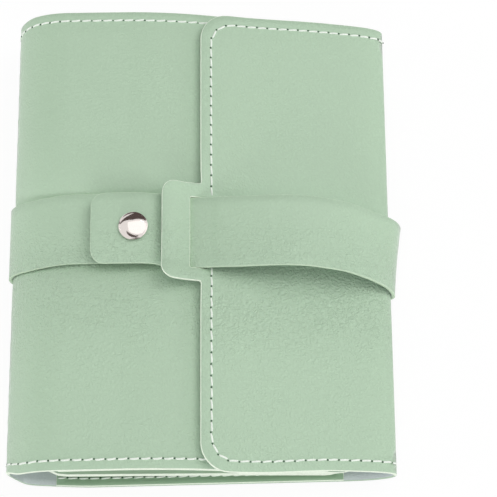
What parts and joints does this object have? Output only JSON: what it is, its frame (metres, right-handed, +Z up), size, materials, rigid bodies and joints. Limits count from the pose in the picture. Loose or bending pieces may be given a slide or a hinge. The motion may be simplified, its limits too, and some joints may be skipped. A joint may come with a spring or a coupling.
{
  "type": "earring book",
  "caption": "Soft wrap-round book case for earrings: perforated leaves on a spine binding, a fold-over flap with a slotted keeper tab, and a snap strap round the middle.",
  "frame": {"origin": "middle of the closed book's footprint, on the surface it lies on", "axes": "+X from the spine to the fore-edge, +Y along the spine towards the head edge, +Z up out of the front cover"},
  "size_m": [0.13, 0.16, 0.0357],
  "materials": {
    "green_leatherette": "fine-grained satin",
    "green_lining": "satin",
    "page_leatherette": "satin",
    "white_thread": "matte thread",
    "chromed_steel": "polished",
    "binding_tape": "woven matte"
  },
  "bodies": {
    "back": {"back_cover": "green_leatherette", "back_lining": "green_lining", "back_seam_head_edge": "white_thread", "back_seam_tail_edge": "white_thread", "strap_back": "green_leatherette"},
    "spine": {"spine_cover": "green_leatherette", "strap_spine": "green_leatherette", "spine_seam_head_edge": "white_thread", "spine_seam_tail_edge": "white_thread", "binding_strip": "binding_tape", "page_fold": "page_leatherette", "binding_rivet_head_edge": "chromed_steel", "binding_rivet_tail_edge": "chromed_steel"},
    "front": {"front_cover": "green_leatherette", "front_lining": "green_lining", "front_seam": "white_thread", "strap_band": "green_leatherette", "snap_stud": "chromed_steel", "snap_stud_rivet": "chromed_steel"},
    "leaf_front": {"leaf_front": "page_leatherette"},
    "leaf_rear": {"leaf_rear": "page_leatherette"},
    "fore_edge": {"fore_edge_fold": "green_leatherette", "fore_edge_seam_head_edge": "white_thread", "fore_edge_seam_tail_edge": "white_thread", "strap_bend": "green_leatherette"},
    "flap": {"flap": "green_leatherette", "flap_lining": "green_lining", "flap_seam_head_edge": "white_thread", "flap_seam_tail_edge": "white_thread", "strap_arch": "green_leatherette"},
    "tail": {"strap_tail": "green_leatherette", "snap_cap": "chromed_steel", "snap_socket": "chromed_steel"}
  },
  "joints": [
    {"name": "spine_fold", "type": "hinge", "parent": "back", "child": "spine", "pos_m": [-0.0602, 0, 0.0048], "axis": [0, -1, 0], "range_deg": [0, 90], "deforming": ["spine_cover", "strap_spine", "spine_seam_head_edge", "spine_seam_tail_edge"]},
    {"name": "front_fold", "type": "hinge", "parent": "spine", "child": "front", "pos_m": [-0.0602, 0, 0.0247], "axis": [0, -1, 0], "range_deg": [0, 90]},
    {"name": "leaf_front_turn", "type": "hinge", "parent": "spine", "child": "leaf_front", "pos_m": [-0.0587, 0, 0.01475], "axis": [0, -1, 0], "range_deg": [0, 86], "deforming": ["leaf_front"]},
    {"name": "leaf_rear_turn", "type": "hinge", "parent": "spine", "child": "leaf_rear", "pos_m": [-0.0587, 0, 0.01475], "axis": [0, -1, 0], "range_deg": [-86, 0]},
    {"name": "fore_edge_turn", "type": "hinge", "parent": "back", "child": "fore_edge", "pos_m": [0.06165, 0, 0.00335], "axis": [0, 1, 0], "range_deg": [0, 90], "deforming": ["fore_edge_fold", "strap_bend", "fore_edge_seam_head_edge", "fore_edge_seam_tail_edge"]},
    {"name": "flap_fold", "type": "hinge", "parent": "fore_edge", "child": "flap", "pos_m": [0.0627, 0, 0.0107], "axis": [0, 1, 0], "range_deg": [0, 72]},
    {"name": "snap_release", "type": "hinge", "parent": "flap", "child": "tail", "pos_m": [-0.01278, 0, 0.03026], "axis": [0, 1, 0], "range_deg": [0, 80]}
  ],
  "couplings": [
    {"joint": "front_fold", "follows": "spine_fold", "ratio": 1},
    {"joint": "leaf_front_turn", "follows": "spine_fold", "ratio": 0.9524},
    {"joint": "leaf_rear_turn", "follows": "spine_fold", "ratio": -0.9524},
    {"joint": "flap_fold", "follows": "fore_edge_turn", "ratio": 0.8}
  ]
}
